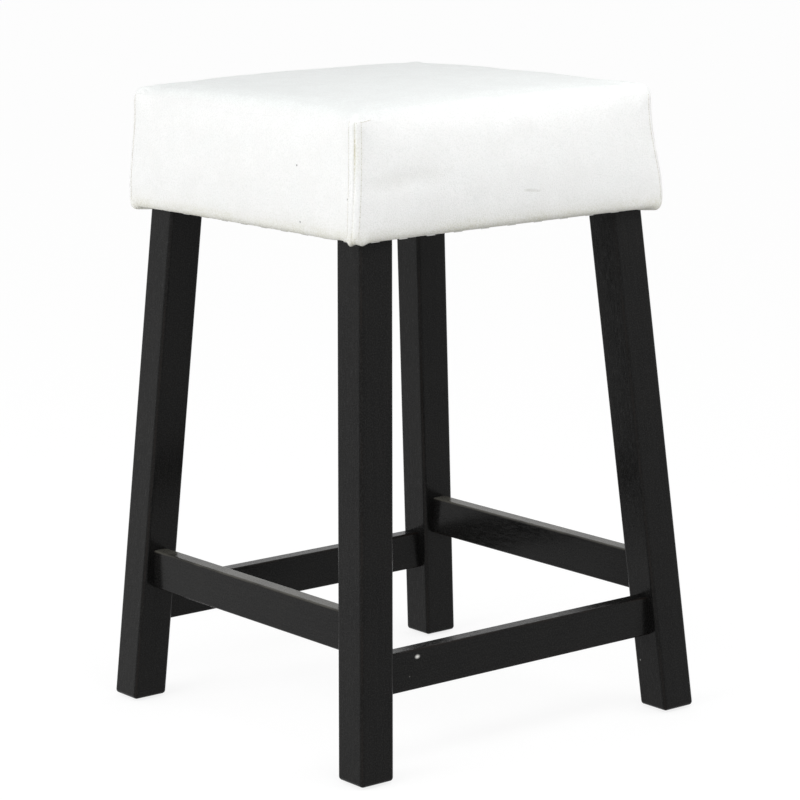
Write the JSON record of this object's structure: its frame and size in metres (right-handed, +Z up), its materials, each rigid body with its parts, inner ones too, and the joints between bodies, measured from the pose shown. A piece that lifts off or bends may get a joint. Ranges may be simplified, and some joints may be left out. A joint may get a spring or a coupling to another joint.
{
  "type": "upholstered stool",
  "caption": "Square upholstered counter-height stool on splayed square wooden legs, joined low down by flat stretchers at two heights.",
  "frame": {"origin": "on the floor, under the seat's centre", "axes": "+Z up; +Y from the front (the lower stretchers' side) to the back; +X to the right, towards an upper stretcher"},
  "size_m": [0.4384, 0.4384, 0.66],
  "materials": {
    "espresso_wood": "satin",
    "plywood": "matte",
    "white_faux_leather": "satin",
    "foam": "matte",
    "black_dust_cloth": "matte",
    "zinc_steel": "satin",
    "glide_plastic": "matte"
  },
  "bodies": {
    "root": {"leg_front_left": "espresso_wood", "leg_front_right": "espresso_wood", "leg_back_left": "espresso_wood", "leg_back_right": "espresso_wood", "stretcher_front": "espresso_wood", "stretcher_back": "espresso_wood", "stretcher_left": "espresso_wood", "stretcher_right": "espresso_wood", "rail_front": "plywood", "rail_back": "plywood", "rail_left": "plywood", "rail_right": "plywood", "corner_block_front_left": "plywood", "corner_block_front_right": "plywood", "corner_block_back_left": "plywood", "corner_block_back_right": "plywood", "seat_board": "plywood", "cover": "white_faux_leather", "foam_pad": "foam", "side_padding": "foam", "dust_cover": "black_dust_cloth", "leg_bolts": "zinc_steel", "leg_washers": "zinc_steel", "leg_nuts": "zinc_steel", "block_screws": "zinc_steel", "board_screws": "zinc_steel", "rail_nails": "zinc_steel", "hem_staples": "zinc_steel", "dust_cover_staples": "zinc_steel", "glide_nails": "zinc_steel", "foot_glide_front_left": "glide_plastic", "foot_glide_front_right": "glide_plastic", "foot_glide_back_left": "glide_plastic", "foot_glide_back_right": "glide_plastic"}
  },
  "joints": []
}
